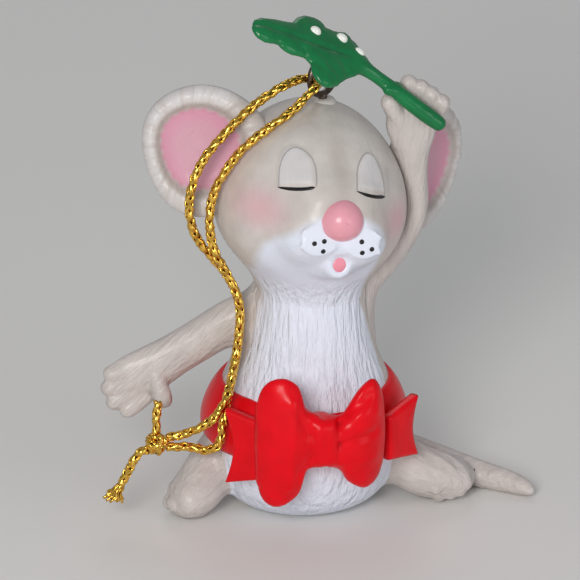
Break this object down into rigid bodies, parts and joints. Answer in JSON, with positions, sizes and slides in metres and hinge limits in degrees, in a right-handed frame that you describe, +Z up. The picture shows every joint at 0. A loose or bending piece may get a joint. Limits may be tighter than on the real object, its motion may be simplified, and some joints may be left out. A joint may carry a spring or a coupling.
{
  "type": "mouse figurine ornament",
  "caption": "Seated mouse figurine with a bow and sash, an arm raised to hold a leaf sprig over its head, and a hanging cord loop on a screw eye.",
  "frame": {"origin": "on the floor, in the flat base of the body, under the middle of its hips", "axes": "+Z up, the mouse faces -Y, +X to the mouse's left"},
  "size_m": [0.0569, 0.0314, 0.071],
  "materials": {
    "coat": "painted, satin gloss",
    "nose_paint": "painted, gloss",
    "ribbon": "painted, gloss",
    "leaf": "painted, gloss",
    "berry": "painted, gloss",
    "eye_metal": "dark, worn",
    "cord": "metallic braid"
  },
  "bodies": {
    "figure": {"torso": "coat", "head": "coat", "lowered_arm": "coat", "raised_arm": "coat", "leg_right": "coat", "leg_left": "coat", "tail": "coat", "ear_right": "coat", "ear_left": "coat", "nose": "nose_paint", "sash": "ribbon", "bow_knot": "ribbon", "bow_loop_right": "ribbon", "bow_loop_left": "ribbon", "bow_tail_right": "ribbon", "bow_tail_left": "ribbon", "eye_pad": "coat", "screw_eye": "eye_metal", "sprig": "leaf", "berry_1": "berry", "berry_2": "berry", "berry_3": "berry"},
    "hanging_loop": {"cord_back": "cord", "cord_front": "cord", "cord_knot": "cord", "cord_end": "cord", "cord_fringe": "cord", "cord_stub": "cord"}
  },
  "joints": [
    {"name": "loop_swing", "type": "hinge", "parent": "figure", "child": "hanging_loop", "pos_m": [0.0028, 0.0006, 0.05833], "axis": [-0.5388, 0.8425, 0], "range_deg": [0, 45]}
  ]
}
